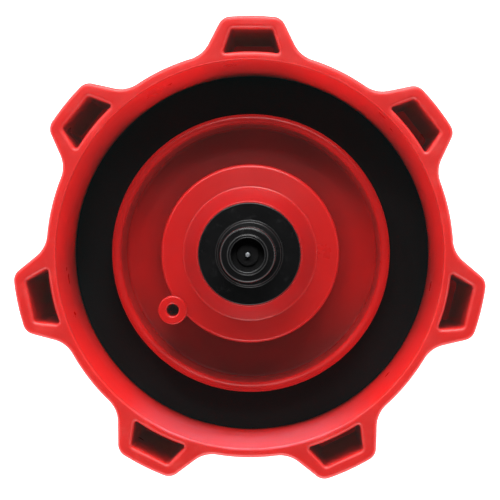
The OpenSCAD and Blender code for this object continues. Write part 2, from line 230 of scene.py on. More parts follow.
def plate(name, outlines, low, high, edge):
    # a flat plate between two heights; the first outline is its rim and the others are holes
    wires = []
    for i, outline in enumerate(outlines):
        wires.append(drawWire(f"{name}Outline{i}", [Vector((p.x, p.y, 0)) for p in outline], True))
        endEdit()
    piece = joinPieces(wires, name)
    bpy.ops.object.convert(target="CURVE")
    curve = piece.data
    curve.dimensions = "2D"
    curve.fill_mode = "BOTH"
    curve.extrude = (high - low) / 2 * mm - edge * mm
    curve.bevel_depth = edge * mm
    curve.bevel_resolution = stepsFor(edge, 4)
    curve.offset = -edge * mm
    bpy.ops.object.convert(target="MESH")
    piece = bpy.context.object
    startEdit(piece)
    bpy.ops.mesh.select_all(action="SELECT")
    bpy.ops.transform.translate(value=(0, 0, (low + high) / 2 * mm))
    tidyMesh()
    endEdit()
    return piece


def circlePoints(radius, count):
    return [Matrix.Rotation(fullTurn * i / count, 2) @ Vector((radius, 0)) for i in range(count)]


def turned(points, angle):
    return [Matrix.Rotation(angle, 2) @ p for p in points]


def mirrored(points):
    return [Vector((-p.x, p.y)) for p in reversed(points)]


def heights(node):
    low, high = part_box(node)
    return low.z / mm, high.z / mm


def radiusOf(node):
    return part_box(node)[1].x / mm


# Cap body

capShape = {
    # here and in the pieces below, lengths are in millimetres and angles in degrees
    "skirtRadius": 68.5, "lugReach": 11.5, "lugTipWidth": 19.4, "lugFlare": 26.5, "lugCorner": 4.5,
    "lugRoot": 10.0, "rootDip": 0.03, "lugs": 7,
    "gapSteps": 10, "rootSteps": 12, "cornerSteps": 9, "tipSteps": 6,
    "pocketRadius": 68.0, "pocketOuter": 75.5, "pocketWidth": 13.9, "pocketFlare": 18.0, "pocketCorner": 1.3,
    "pocketFloor": 3.0, "pocketSteps": 8, "edge": 1.5, "joinRadius": 66.25,
    "rimBore": 65.2, "bore": 64.5, "boreBend": 23.0, "rimInnerEdge": 0.9, "plate": 3.2,
    "plugInner": 45.8, "plugOuter": 48.0, "plugTop": 19.7, "lip": 49.2, "lipRound": 1.7, "lipFoot": 16.4,
    "bossRadius": 31.0, "hollowRadius": 28.0, "shoulder": 26.5, "shoulderRise": 0.8, "bossEdge": 1.3,
    "bossWall": 3.0, "seatRadius": 17.9, "seatFoot": 23.0, "seatHeight": 35.4, "seatThickness": 3.0,
    "riserWall": 3.2, "grooveIn": 11.2, "grooveOut": 13.6, "grooveDepth": 1.5, "holeRadius": 9.0,
    "coverSeat": 30.3, "coverDepth": 2.2, "dishIn": 36.0, "dishOut": 57.0, "dishDepth": 0.8,
    "twistLow": 8.8, "twistHigh": 11.8, "twistReach": 49.8, "twistCount": 4, "twistAngle": 30,
    "catchLow": 7.3, "catchHigh": 9.7, "catchReach": 28.9, "catchCount": 4, "catchAngle": 30,
    "dishEdge": 0.3, "dishSlope": 0.4, "coverEdge": 0.25, "coverCorner": 0.1, "fillet": 1.2,
    "footFillet": 1.0, "underFillet": 0.8, "holeEdge": 0.2, "grooveEdge": 0.15, "grooveCorner": 0.2,
    "seatEdge": 0.35, "seatFillet": 0.9, "lipFootEdge": 0.6, "lipStep": 0.4, "plugFillet": 0.6,
    "boreCorner": 0.12, "boreRound": 3.0,
    "steps": 360,
}
tetherShape = {
    "angle": 216.9, "distance": 33.3, "radius": 5.0, "hole": 2.1, "top": 27.5, "depth": 14.0,
    "sunk": 0.5, "edge": 0.6, "mouth": 0.7, "holeFillet": 0.5,
}


def lugOutline():
    # the cap's outer edge: from a gap's middle over a root and a corner to a lug's middle, then mirrored
    s = capShape
    flare = math.radians(s["lugFlare"])
    tip = s["skirtRadius"] + s["lugReach"]
    sideWay = Vector((math.sin(flare), -math.cos(flare)))
    sideOut = Vector((math.cos(flare), math.sin(flare)))
    sideOff = sideOut.dot(Vector((s["lugTipWidth"] / 2, tip)))

    def beside(off, radius):
        # the point at a distance from the lug's side line and from the cap's axis
        return sideOut * (sideOff + off) - sideWay * math.sqrt(radius ** 2 - (sideOff + off) ** 2)

    corner = beside(-s["lugCorner"], tip - s["lugCorner"])
    root = beside(s["lugRoot"], s["skirtRadius"] + s["lugRoot"] - s["rootDip"])
    halfPitch = math.pi / s["lugs"]
    gap = Matrix.Rotation(-halfPitch, 2) @ Vector((0, s["skirtRadius"]))
    rootStart = root.normalized() * s["skirtRadius"]
    cornerEnd = corner.normalized() * tip
    half = arc((0, 0), gap, rootStart, s["gapSteps"])
    half += arc(root, rootStart, root - sideOut * s["lugRoot"], s["rootSteps"])[1:]
    half += arc(corner, corner + sideOut * s["lugCorner"], cornerEnd, s["cornerSteps"])
    half += arc((0, 0), cornerEnd, (0, tip), s["tipSteps"])[1:]
    lug = half + mirrored(half)[1:-1]
    points = []
    for i in range(s["lugs"]):
        points += turned(lug, fullTurn * i / s["lugs"])
    return points


def pocketOutline():
    # the hollow in the first lug, whose sides splay towards its foot
    s = capShape
    run = math.tan(math.radians(s["pocketFlare"]))
    topX = s["pocketWidth"] / 2
    topY = s["pocketOuter"]
    # how far down a side meets the circle that the pocket's foot lies on
    b = topX * run - topY
    slope = 1 + run * run
    inside = topX ** 2 + topY ** 2 - s["pocketRadius"] ** 2
    drop = (-b - math.sqrt(b * b - slope * inside)) / slope
    foot = Vector((topX + drop * run, topY - drop))
    inner = arc((0, 0), foot, (-foot.x, foot.y), s["pocketSteps"])
    corners = [(-topX, topY, s["pocketCorner"]), (topX, topY, s["pocketCorner"])]
    corners.append((foot.x, foot.y, s["pocketCorner"]))
    corners += [(p.x, p.y) for p in inner[1:-1]]
    corners.append((-foot.x, foot.y, s["pocketCorner"]))
    return roundCorners(corners, True)


def makeCapShell():
    # the skirt and its lugs, open where the turned part joins it
    s = capShape
    top = heights("cap_body")[1]
    rim = lugOutline()
    hole = circlePoints(s["joinRadius"] - s["edge"], s["steps"])
    pocket = pocketOutline()
    pockets = [turned(pocket, fullTurn * i / s["lugs"]) for i in range(s["lugs"])]
    split = s["pocketFloor"]
    limit = s["joinRadius"] - touch
    upper = plate("capShell", [rim, hole] + pockets, 0, top, s["edge"])
    lower = plate("capFoot", [rim, hole], 0, top, s["edge"])
    for piece, keepsUpper in ((upper, True), (lower, False)):
        startEdit(piece)
        bpy.ops.mesh.select_all(action="SELECT")
        bpy.ops.mesh.bisect(
            plane_co=(0, 0, split * mm), plane_no=(0, 0, 1),
            clear_inner=keepsUpper, clear_outer=not keepsUpper
        )
        pickFaces(piece, lambda c, normal: c.xy.length < limit)
        bpy.ops.mesh.delete(type="FACE")
        endEdit()
    startEdit(upper)
    pickOpenEdges(upper, lambda c: abs(c.z - split) < touch and insidePocket(c))
    bpy.ops.mesh.fill_holes(sides=0)
    endEdit()
    return joinPieces([upper, lower], "capShell")


def insidePocket(point):
    # true for a point on a pocket's outline, folded into the first lug
    s = capShape
    pitch = fullTurn / s["lugs"]
    angle = math.atan2(point.x, point.y)
    angle -= pitch * round(angle / pitch)
    radius = point.xy.length
    margin = 0.1
    widestAngle = 11
    beyondFoot = radius > s["pocketRadius"] - margin
    belowTop = radius * math.cos(angle) < s["pocketOuter"] + margin / 2
    inReach = beyondFoot and belowTop
    inWidth = abs(radius * math.sin(angle)) < s["pocketWidth"] and abs(math.degrees(angle)) < widestAngle
    return inReach and inWidth


def makeCapTurned():
    # everything of revolution, from the outer face through the boss and the plug ring to the rim
    s = capShape
    top = heights("cap_body")[1]
    riser = (s["seatFoot"] - s["seatRadius"]) / (s["seatHeight"] - s["shoulder"] - s["shoulderRise"])
    under = s["seatHeight"] - s["seatThickness"]
    innerFoot = s["seatFoot"] - s["riserWall"]
    innerFootZ = s["shoulder"] + s["shoulderRise"] - s["bossWall"]
    grooveZ = s["seatHeight"] - s["grooveDepth"]
    section = [
        (s["joinRadius"], 0),
        (s["dishOut"], 0, s["dishEdge"]),
        (s["dishOut"] - s["dishSlope"], s["dishDepth"], s["dishSlope"]),
        (s["dishIn"] + s["dishSlope"], s["dishDepth"], s["dishSlope"]),
        (s["dishIn"], 0, s["dishEdge"]),
        (s["coverSeat"], 0, s["coverEdge"]),
        (s["coverSeat"], s["coverDepth"], s["coverCorner"]),
        (s["hollowRadius"], s["coverDepth"], s["coverEdge"]),
        (s["hollowRadius"], s["catchLow"]),
        (s["hollowRadius"], s["catchHigh"]),
        (s["hollowRadius"], s["shoulder"] - s["bossWall"], s["fillet"]),
        (innerFoot, innerFootZ, s["footFillet"]),
        (innerFoot - riser * (under - innerFootZ), under, s["underFillet"]),
        (s["holeRadius"], under, s["holeEdge"]),
        (s["holeRadius"], s["seatHeight"], s["holeEdge"]),
        (s["grooveIn"], s["seatHeight"], s["grooveEdge"]),
        (s["grooveIn"], grooveZ, s["grooveCorner"]),
        (s["grooveOut"], grooveZ, s["grooveCorner"]),
        (s["grooveOut"], s["seatHeight"], s["grooveEdge"]),
        (s["seatRadius"], s["seatHeight"], s["seatEdge"]),
        (s["seatFoot"], s["shoulder"] + s["shoulderRise"], s["seatFillet"]),
        (s["bossRadius"], s["shoulder"], s["bossEdge"]),
        (s["bossRadius"], s["plate"], s["fillet"]),
        (s["plugInner"], s["plate"], s["fillet"]),
        (s["plugInner"], s["plugTop"], s["lipRound"]),
        (s["lip"], s["plugTop"], s["lipRound"]),
        (s["lip"], s["lipFoot"], s["lipFootEdge"]),
        (s["plugOuter"], s["lipFoot"] - s["lipStep"], s["lipStep"]),
        (s["plugOuter"], s["twistHigh"]),
        (s["plugOuter"], s["twistLow"]),
        (s["plugOuter"], s["plate"], s["plugFillet"]),
        (s["bore"], s["plate"], s["boreCorner"]),
        (s["bore"], s["boreBend"], s["boreRound"]),
        (s["rimBore"], top, s["rimInnerEdge"]),
        (s["joinRadius"], top),
    ]
    piece = lathe("capTurned", section, closed=False, steps=s["steps"])
    startEdit(piece)
    twist = (s["twistLow"], s["twistHigh"])
    pullOut(piece, s["plugOuter"], s["twistReach"], twist, s["twistCount"], s["twistAngle"], 0)
    catch = (s["catchLow"], s["catchHigh"])
    middled = -s["catchAngle"] / 2
    pullOut(piece, s["hollowRadius"], s["catchReach"], catch, s["catchCount"], s["catchAngle"], middled)
    endEdit()
    return piece


def pullOut(piece, radius, reach, band, count, angle, start):
    # pulls parts of a round wall's band outwards, as lugs on a ring or slots in a bore
    pitch = 360 / count

    def onBand(c, normal):
        around = (math.degrees(math.atan2(c.y, c.x)) - start) % pitch
        return abs(c.xy.length - radius) < 0.05 and band[0] < c.z < band[1] and around < angle

    pickFaces(piece, onBand)
    bpy.ops.mesh.extrude_region()
    wider = reach / radius
    bpy.ops.transform.resize(value=(wider, wider, 1), center_override=(0, 0, 0))


def makeTetherBoss():
    s = tetherShape
    foot = capShape["plate"] - s["sunk"]
    floor = s["top"] - s["depth"]
    boss = lathe("tetherBoss", [
        (0, foot), (s["radius"], foot), (s["radius"], s["top"], s["edge"]),
        (s["hole"], s["top"], s["mouth"]), (s["hole"], floor, s["holeFillet"]), (0, floor),
    ], closed=False, steps=64)
    angle = math.radians(s["angle"])
    moveMesh(boss, Vector((math.cos(angle), math.sin(angle), 0)) * s["distance"] * mm)
    return boss


def makeCapBody():
    shell = makeCapShell()
    body = joinPieces([shell, makeCapTurned()], "capBody")
    startEdit(body)
    tidyMesh(merge=0.03)
    endEdit()
    boss = makeTetherBoss()
    cutOrFuse(body, boss, "UNION")
    smooth(body, 34)
    return body


capBody = makeCapBody()
print("cap body modelled", len(capBody.data.polygons), "faces")


# Gasket, seals and the valve's turned pieces

gasketShape = {"inner": 50.3, "edge": 0.3, "footEdge": 0.1}


def makeGasket():
    g = gasketShape
    low, high = heights("gasket")
    outer = radiusOf("gasket")
    return lathe("gasketRing", [
        (g["inner"], low, g["footEdge"]), (outer, low, g["edge"]),
        (outer, high, g["edge"]), (g["inner"], high, g["edge"]),
    ], steps=256)


valveShape = {
    "stem": 8.9, "stemFoot": 20.0, "flange": 17.4, "seat": 35.4, "flangeTop": 37.0, "collar": 11.1,
    "collarTop": 38.6, "collarFoot": 0.3, "collarSlope": 0.4, "bodyStep": 0.2,
    "body": 8.95, "bodyTop": 59.6, "bodyEdge": 0.95, "inlet": 5.4, "lipWidth": 1.1, "lipTop": 60.4,
    "chamber": 7.3, "chamberTop": 55.2, "bead": 0.5, "beadGap": 0.2, "beadWidth": 0.6, "beadRound": 0.25,
    "stemEdge": 0.5, "corner": 0.2, "tightCorner": 0.1, "flangeUnder": 0.25, "flangeEdge": 0.45,
    "fillet": 0.3, "softFillet": 0.4,
}


def makeValveHousing():
    v = valveShape
    bead = v["inlet"] + v["beadGap"]
    beadOut = bead + v["beadWidth"]
    beadFoot = v["chamberTop"] - v["bead"]
    lipOut = v["inlet"] + v["lipWidth"]
    lipRound = v["lipWidth"] / 2
    return lathe("valveHousing", [
        (v["chamber"], v["stemFoot"], v["fillet"]),
        (v["stem"], v["stemFoot"], v["stemEdge"]),
        (v["stem"], v["seat"], v["tightCorner"]),
        (v["flange"], v["seat"], v["flangeUnder"]),
        (v["flange"], v["flangeTop"], v["flangeEdge"]),
        (v["collar"] + v["collarFoot"], v["flangeTop"], v["fillet"]),
        (v["collar"] - v["collarSlope"], v["collarTop"], v["softFillet"]),
        (v["body"], v["collarTop"] + v["bodyStep"], v["fillet"]),
        (v["body"], v["bodyTop"], v["bodyEdge"]),
        (lipOut, v["bodyTop"], v["corner"]),
        (lipOut, v["lipTop"], lipRound),
        (v["inlet"], v["lipTop"], lipRound),
        (v["inlet"], v["chamberTop"], v["corner"]),
        (bead, v["chamberTop"]),
        (bead, beadFoot, v["beadRound"]),
        (beadOut, beadFoot, v["beadRound"]),
        (beadOut, v["chamberTop"], v["tightCorner"]),
        (v["chamber"], v["chamberTop"], v["softFillet"]),
    ], steps=160)


def makeHousingSeal():
    low, high = heights("housing_seal")
    outer = radiusOf("housing_seal")
    inner = outer - (high - low)
    cord = (high - low) / 2
    return lathe("housingSealRing", [
        (inner, low, cord), (outer, low, cord), (outer, high, cord), (inner, high, cord),
    ], steps=96)


gasketRing = makeGasket()
smooth(gasketRing)
valveHousing = makeValveHousing()
smooth(valveHousing)
housingSealRing = makeHousingSeal()
smooth(housingSealRing, 60)
print("gasket, valve housing and its seal modelled")


# Nut that holds the valve inside the boss

nutShape = {"hole": 9.0, "corner": 0.5, "edge": 0.3, "chamfer": 1.2, "chamferDrop": 0.75}


def makeRetainingNut():
    n = nutShape
    low, high = heights("retaining_nut")
    reach = radiusOf("retaining_nut")
    hexagon = roundCorners([(p.x, p.y, n["corner"]) for p in circlePoints(reach, 6)], True)
    nut = plate("retainingNut", [hexagon, circlePoints(n["hole"], 96)], low, high, n["edge"])
    narrow = reach - n["chamfer"]
    blank = lathe("nutBlank", [
        (0, low - 1), (narrow, low - 1), (narrow, low), (reach + 0.2, low + n["chamferDrop"]),
        (reach + 0.2, high - n["chamferDrop"]), (narrow, high), (narrow, high + 1), (0, high + 1),
    ], closed=False, steps=96)
    cutOrFuse(nut, blank, "INTERSECT")
    return nut


retainingNut = makeRetainingNut()
smooth(retainingNut, 20)
print("retaining nut modelled")


# Valve works: what carries and guides them, and what moves

worksShape = {
    "guideBore": 2.9, "guideWall": 1.0, "retainerTop": 24.1, "retainerEdge": 0.2, "tubeEdge": 0.3,
    "ventHole": 1.0, "ventHoles": 8, "ventCircle": 5.6,
    "mesh": 0.75, "meshPitch": 2.3, "meshRim": 1.6, "meshEdge": 0.1, "meshTurn": 0.1,
    "pinHole": 0.86, "airHole": 0.4, "airCircle": 2.05, "airHoles": 6, "plateEdge": 0.12,
    "sealHole": 2.6, "sealEdge": 0.12, "discEdge": 0.2, "clipEdge": 0.12,
    "pin": 0.8, "pinHead": 1.1, "pinHeadTop": 47.2, "headEdge": 0.25, "headCorner": 0.1, "neck": 0.05,
    "pinEnd": 0.35,
}


def ringOf(radius, count, at, places):
    # circles of one size, evenly spaced on a larger circle
    hole = circlePoints(radius, count)
    return [[p + place for p in hole] for place in circlePoints(at, places)]


def makeSpringRetainer():
    w = worksShape
    low, high = heights("spring_retainer")
    outer = w["guideBore"] + w["guideWall"]
    rim = circlePoints(radiusOf("spring_retainer"), 96)
    holes = ringOf(w["ventHole"], 24, w["ventCircle"], w["ventHoles"])
    middle = circlePoints(w["guideBore"] + w["guideWall"] / 2, 48)
    edge = w["retainerEdge"]
    disc = plate("springRetainer", [rim, middle] + holes, low, w["retainerTop"], edge)
    tube = lathe("guideTube", [
        (w["guideBore"], low, edge), (outer, low), (outer, high, w["tubeEdge"]),
        (w["guideBore"], high, w["tubeEdge"]),
    ], steps=64)
    cutOrFuse(disc, tube, "UNION")
    return disc


def makeDustScreen():
    w = worksShape
    low, high = heights("dust_screen")
    radius = radiusOf("dust_screen")
    # holes on a triangular grid, as far out as the rim allows
    rows = math.ceil(radius / w["meshPitch"])
    outlines = [circlePoints(radius, 96)]
    for i in range(-rows, rows + 1):
        for j in range(-rows, rows + 1):
            place = Vector((i + j / 2, j * math.sqrt(3) / 2)) * w["meshPitch"]
            if place.length < radius - w["meshRim"]:
                outlines.append([p + place for p in turned(circlePoints(w["mesh"], 20), w["meshTurn"])])
    return plate("dustScreen", outlines, low, high, w["meshEdge"])


def makePressurePlate():
    w = worksShape
    low, high = heights("pressure_plate")
    holes = ringOf(w["airHole"], 16, w["airCircle"], w["airHoles"])
    outlines = [circlePoints(radiusOf("pressure_plate"), 96), circlePoints(w["pinHole"], 32)]
    return plate("pressurePlate", outlines + holes, low, high, w["plateEdge"])


def makeRing(name, node, inner, edge):
    low, high = heights(node)
    outer = radiusOf(node)
    return lathe(name, [
        (inner, low, edge), (outer, low, edge), (outer, high, edge), (inner, high, edge),
    ], steps=80)


def makeVacuumPin():
    w = worksShape
    low, high = heights("vacuum_pin")
    return lathe("vacuumPin", [
        (0, low), (w["pinHead"], low, w["headEdge"]), (w["pinHead"], w["pinHeadTop"], w["headCorner"]),
        (w["pin"], w["pinHeadTop"], w["neck"]), (w["pin"], high, w["pinEnd"]), (0, high),
    ], closed=False, steps=48)


pressureCoil = {"wire": 0.45, "turns": 8, "travel": 3.0}
vacuumCoil = {"wire": 0.2, "turns": 4, "travel": 1.5}


def shareKept(node, coil):
    # the share of its length that a spring keeps after its joint's whole travel
    low, high = heights(node)
    return 1 - coil["travel"] / (high - low)


def makeCoil(name, node, coilShape):
    # a compression spring with closed, ground ends
    low, high = heights(node)
    wire = coilShape["wire"]
    turns = coilShape["turns"]
    keep = shareKept(node, coilShape)
    radius = radiusOf(node) - wire
    steps = 28
    middleTurns = turns - 2
    endPitch = 2.1 * wire / keep     # a little over the wire's own thickness when the spring is closed
    pitch = (high - low - 2 * endPitch) / middleTurns
    points = []
    for i in range(turns * steps + 1):
        t = i / steps
        # the first and last turn climb little, and those between share the rest
        climb = endPitch * (min(t, 1) + max(t - turns + 1, 0)) + pitch * min(max(t - 1, 0), middleTurns)
        around = fullTurn * t
        points.append(Vector((radius * math.cos(around), radius * math.sin(around), low + climb)))
    coil = drawWire(name, points, False)
    endEdit()
    bpy.ops.object.convert(target="CURVE")
    coil.data.dimensions = "3D"
    coil.data.bevel_depth = wire * mm
    coil.data.bevel_resolution = 3
    coil.data.use_fill_caps = True
    bpy.ops.object.convert(target="MESH")
    coil = bpy.context.object
    startEdit(coil)
    tidyMesh()
    endEdit()
    inner = radius - 2 * wire
    outer = radius + 2 * wire
    blank = lathe(name + "Blank", [(inner, low), (outer, low), (outer, high), (inner, high)], steps=96)
    cutOrFuse(coil, blank, "INTERSECT")
    return coil


springRetainer = makeSpringRetainer()
dustScreen = makeDustScreen()
pressurePlate = makePressurePlate()
pressureSeal = makeRing("pressureSeal", "pressure_seal", worksShape["sealHole"], worksShape["sealEdge"])
vacuumDisc = makeRing("vacuumDisc", "vacuum_disc", worksShape["pin"], worksShape["discEdge"])
vacuumPin = makeVacuumPin()
pinClip = makeRing("pinClip", "pin_clip", worksShape["pin"], worksShape["clipEdge"])
pressureSpring = makeCoil("pressureSpring", "pressure_spring", pressureCoil)
vacuumSpring = makeCoil("vacuumSpring", "vacuum_spring", vacuumCoil)
works = [
    springRetainer, dustScreen, pressurePlate, pressureSeal, vacuumDisc, vacuumPin, pinClip,
    pressureSpring, vacuumSpring
]
for piece in works:
    smooth(piece)
print("valve works modelled")


# Vent cover in the outer face

coverShape = {
    "plate": 2.2, "edge": 0.35, "slots": 12, "slotWidth": 1.8, "slotIn": 10.0, "slotOut": 22.0,
    "legs": 4, "legAngle": 26.0, "legOut": 27.7, "legWall": 1.6, "barb": 0.9, "catch": 7.6, "catchTop": 9.4,
    "catchLand": 0.5, "lead": 0.3, "sunk": 0.5, "rootFillet": 0.2, "barbEdge": 0.12, "leadRound": 0.3,
    "tipEdge": 0.25,
}


def slotPoints(width, start, end):
    # a slot with round ends, pointing along X
    half = width / 2
    steps = 6
    points = []
    for at, side in ((end, 1), (start, -1)):
        foot = (at, -side * half)
        tip = (at + side * half, 0)
        head = (at, side * half)
        points += arc((at, 0), foot, tip, steps) + arc((at, 0), tip, head, steps)[1:]
    return points


def makeVentCover():
    s = coverShape
    low, high = heights("vent_cover")
    slot = slotPoints(s["slotWidth"], s["slotIn"], s["slotOut"])
    outlines = [circlePoints(radiusOf("vent_cover"), 240)]
    outlines += [turned(slot, fullTurn * i / s["slots"]) for i in range(s["slots"])]
    cover = plate("ventCover", outlines, low, s["plate"], s["edge"])
    inner = s["legOut"] - s["legWall"]
    barb = s["legOut"] + s["barb"]
    root = s["plate"] - s["sunk"]
    leg = lathe("snapLeg", [
        (inner, root), (s["legOut"], root),
        (s["legOut"], s["catch"], s["rootFillet"]),
        (barb, s["catch"], s["barbEdge"]), (barb, s["catch"] + s["catchLand"], s["barbEdge"]),
        (s["legOut"], s["catchTop"], s["leadRound"]),
        (s["legOut"] - s["lead"], high, s["tipEdge"]), (inner, high, s["tipEdge"]),
    ], steps=24, angle=math.radians(s["legAngle"]))
    turnMesh(leg, math.radians(s["legAngle"] / 2))
    legs = [leg]
    for i in range(1, s["legs"]):
        makeActive(leg)
        bpy.ops.object.duplicate()
        copy = bpy.context.object
        turnMesh(copy, -fullTurn * i / s["legs"])
        legs.append(copy)
    cutOrFuse(cover, joinPieces(legs, "snapLegs"), "UNION")
    return cover


ventCover = makeVentCover()
smooth(ventCover)
print("vent cover modelled", len(ventCover.data.polygons), "faces")


# Materials

class Signal:
    # a node's socket that takes part in arithmetic
    def __init__(self, recipe, socket):
        self.recipe = recipe
        self.socket = socket

    def solve(self, operation, first, second):
        return self.recipe.add("ShaderNodeMath", {"operation": operation}, {0: first, 1: second})

    def __add__(self, other):
        return self.solve("ADD", self, other)

    def __radd__(self, other):
        return self.solve("ADD", other, self)

    def __sub__(self, other):
        return self.solve("SUBTRACT", self, other)

    def __rsub__(self, other):
        return self.solve("SUBTRACT", other, self)

    def __mul__(self, other):
        return self.solve("MULTIPLY", self, other)

    def __rmul__(self, other):
        return self.solve("MULTIPLY", other, self)


class Recipe:
    # one material: its nodes, its shader and what feeds it
    def __init__(self, name, **constants):
        self.material = bpy.data.materials.new(name)
        self.material.use_nodes = True
        self.tree = self.material.node_tree
        self.tree.nodes.clear()
        self.shader = self.tree.nodes.new("ShaderNodeBsdfPrincipled")
        self.output = self.tree.nodes.new("ShaderNodeOutputMaterial")
        self.tree.links.new(self.shader.outputs[0], self.output.inputs[0])
        for socket, value in constants.items():
            self.shader.inputs[socket.replace("_", " ")].default_value = value
        self.place = self.add("ShaderNodeTexCoord", {}, {}, "Object")

    def add(self, kind, settings, sockets, out=0):
        node = self.tree.nodes.new(kind)
        for name, value in settings.items():
            setattr(node, name, value)
        for key, value in sockets.items():
            if isinstance(value, Signal):
                self.tree.links.new(value.socket, node.inputs[key])
            else:
                node.inputs[key].default_value = value
        return Signal(self, node.outputs[out])

    def scaled(self, x, y, z):
        # the place on the object, with each axis stretched on its own
        return self.add("ShaderNodeVectorMath", {"operation": "MULTIPLY"}, {0: self.place, 1: (x, y, z)})

    def noise(self, scale, detail=2, roughness=0.5):
        sockets = {"Vector": self.place, "Scale": scale, "Detail": detail, "Roughness": roughness}
        return self.add("ShaderNodeTexNoise", {}, sockets)

    def ramp(self, signal, low, high):
        # 0 at low and 1 at high, and the other way round where low is the larger
        sockets = {"Value": signal, "From Min": low, "From Max": high, "To Min": 0.0, "To Max": 1.0}
        return self.add("ShaderNodeMapRange", {"clamp": True}, sockets)

    def mix(self, factor, first, second):
        # sockets 6 and 7 of a Mix node are its two colours, and output 2 is the colour between them
        sockets = {"Factor": factor, 6: first, 7: second}
        return self.add("ShaderNodeMix", {"data_type": "RGBA", "blend_type": "MIX"}, sockets, 2)

    def feed(self, socket, signal):
        self.tree.links.new(signal.socket, self.shader.inputs[socket])

    def clearFromBehind(self):
        # a one-sided surface: its back lets the underside of what stands on it be seen
        behind = self.add("ShaderNodeNewGeometry", {}, {}, "Backfacing")
        clear = self.add("ShaderNodeBsdfTransparent", {}, {})
        front = Signal(self, self.shader.outputs[0])
        both = self.add("ShaderNodeMixShader", {}, {0: behind, 1: front, 2: clear})
        self.tree.links.new(both.socket, self.output.inputs[0])

    def bump(self, height, strength, distance):
        sockets = {"Strength": strength, "Distance": distance, "Height": height}
        self.feed("Normal", self.add("ShaderNodeBump", {}, sockets))


def colour(*levels):
    # a display colour, each level 0 to 255, as the linear colour that a shader takes
    linear = [((c / 255 + 0.055) / 1.055) ** 2.4 if c > 10 else c / 255 / 12.92 for c in levels]
    return (*linear, 1)


def redPlastic():
    # a little light goes through the walls and comes out soft and deep red; places are in metres
    r = Recipe(
        "redPlastic", IOR=1.48,
        Subsurface_Weight=1.0, Subsurface_Radius=(1.0, 0.14, 0.1), Subsurface_Scale=0.0045,
        # the faint emission is a painted glow that lifts the shade on every red surface
        Emission_Color=(0.1, 1.0, 0.95, 1), Emission_Strength=0.008
    )
    broad = r.noise(28, 3)
    fine = r.noise(900, 2)
    base = r.mix(r.ramp(broad, 0.3, 0.7), colour(198, 20, 20), colour(205, 26, 26))
    reach = r.add("ShaderNodeVectorMath", {"operation": "LENGTH"}, {0: r.place}, 1)
    height = r.add("ShaderNodeSeparateXYZ", {}, {0: r.place}, 2)
    rimWearAndSheen = r.ramp(reach, 0.064, 0.075) * r.ramp(height, 0.036, 0.0405)
    scuffs = rimWearAndSheen * r.ramp(r.noise(160, 5, 0.7), 0.5, 0.7)
    # a painted highlight lies on one side of the bore, broken into streaks that run around it
    out = r.add("ShaderNodeVectorMath", {"operation": "LENGTH"}, {0: r.scaled(1, 1, 0)}, 1)
    south = r.add("ShaderNodeSeparateXYZ", {}, {0: r.place}, 1)
    drawn = {"Vector": r.scaled(70, 70, 900), "Scale": 1, "Detail": 3, "Roughness": 0.6}
    highlightStreaks = r.add("ShaderNodeTexNoise", {}, drawn)
    boreHighlightPlace = r.ramp(south, -0.049, -0.063) * r.ramp(height, 0.009, 0.022) * r.ramp(out, 0.0662, 0.0657)
    boreHighlight = boreHighlightPlace * (0.45 + 0.55 * r.ramp(highlightStreaks, 0.35, 0.62))
    # the bore's wall is painted a brighter red, as painted light
    bore = r.ramp(out, 0.0625, 0.0635) * r.ramp(out, 0.0662, 0.0656) * r.ramp(height, 0.005, 0.007)
    boreLitRed = r.mix(bore * r.ramp(height, 0.0403, 0.0385), base, colour(236, 34, 34))
    # the raised seat under the valve's flange is painted a deeper red, as painted shade
    seat = r.ramp(out, 0.0234, 0.0228) * r.ramp(height, 0.0276, 0.0284)
    seatShaded = r.mix(seat, boreLitRed, colour(176, 17, 20))
    # the rim's top is painted a little lighter as a painted sheen, and its scuffs of wear paler still
    wornAndSheened = r.mix(scuffs * 0.18 + rimWearAndSheen * 0.1, seatShaded, colour(232, 92, 84))
    # painted shade lies in the ring around the boss, thickest against the plug ring and at its two ends
    along = r.add("ShaderNodeMath", {"operation": "ABSOLUTE"}, {0: south})
    bottom = r.ramp(out, 0.0315, 0.033) * r.ramp(out, 0.0458, 0.0452) * r.ramp(height, 0.012, 0.004)
    shadeAtEnds = r.ramp(along, 0.008, 0.034)
    recessShade = bottom * shadeAtEnds * r.ramp(out, 0.026, 0.043) * (0.85 + 0.15 * r.ramp(r.noise(90, 4), 0.35, 0.65))
    withBoreHighlight = r.mix(0.75 * boreHighlight, wornAndSheened, colour(222, 112, 126))
    r.feed("Base Color", r.mix(0.5 * recessShade, withBoreHighlight, colour(84, 42, 34)))
    gloss = 0.27 + 0.06 * r.ramp(r.noise(60, 4), 0.3, 0.7) + 0.05 * rimWearAndSheen + 0.1 * scuffs
    r.feed("Roughness", gloss + 0.1 * boreHighlight + 0.15 * recessShade)
    r.bump(0.6 * r.noise(420, 2) + 0.4 * fine, 0.08, 0.0004)
    return r.material


def gasketRubber():
    r = Recipe(
        "gasketRubber", IOR=1.5, Specular_IOR_Level=0.25,
        # the faint emission is a painted glow that lifts the rubber's shade
        Emission_Color=(0.25, 1, 1, 1), Emission_Strength=0.004
    )
    grain = r.noise(1600, 3, 0.6)
    bloom = r.ramp(r.noise(35, 4, 0.6), 0.45, 0.75)
    r.feed("Base Color", r.mix(bloom, colour(12, 15, 16), colour(21, 26, 27)))
    r.feed("Roughness", 0.62 + 0.12 * grain + 0.08 * bloom)
    r.bump(grain, 0.35, 0.0003)
    return r.material


